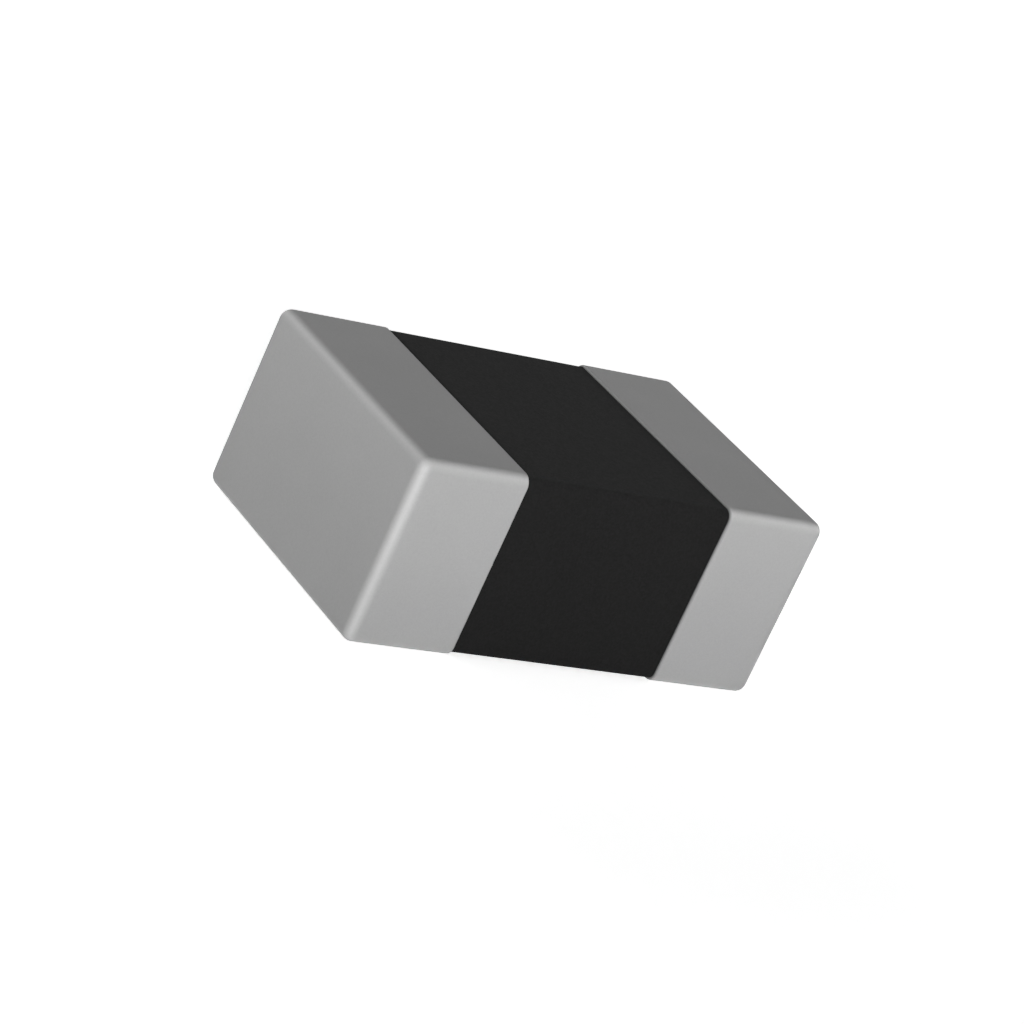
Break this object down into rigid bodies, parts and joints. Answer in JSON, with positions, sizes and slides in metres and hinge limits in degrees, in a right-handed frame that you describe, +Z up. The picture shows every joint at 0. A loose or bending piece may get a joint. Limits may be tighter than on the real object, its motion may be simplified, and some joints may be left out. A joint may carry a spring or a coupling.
{
  "type": "smd chip resistor",
  "caption": "Surface-mount chip resistor: a dark ceramic block with rounded edges, printed electrodes inside it, and a tin-plated terminal cap over each end for soldering to a board.",
  "frame": {"origin": "middle of the underside, on the plane of the two terminals' solder faces", "axes": "+X along the chip from the left to the right terminal, +Y across it to the back, +Z up"},
  "size_m": [0.002, 0.0012, 0.0008],
  "materials": {
    "dark_ceramic": "sintered, matt",
    "printed_silver": "matt, printed and fired",
    "fired_silver": "matt, dipped and fired",
    "nickel": "plated, satin",
    "matt_tin": "plated, matt"
  },
  "bodies": {
    "root": {"ceramic_body": "dark_ceramic", "inner_electrode_1": "printed_silver", "inner_electrode_2": "printed_silver", "inner_electrode_3": "printed_silver", "inner_electrode_4": "printed_silver", "inner_electrode_5": "printed_silver", "inner_electrode_6": "printed_silver", "left_silver_base": "fired_silver", "right_silver_base": "fired_silver", "left_nickel_barrier": "nickel", "right_nickel_barrier": "nickel", "left_tin_plating": "matt_tin", "right_tin_plating": "matt_tin"}
  },
  "joints": []
}
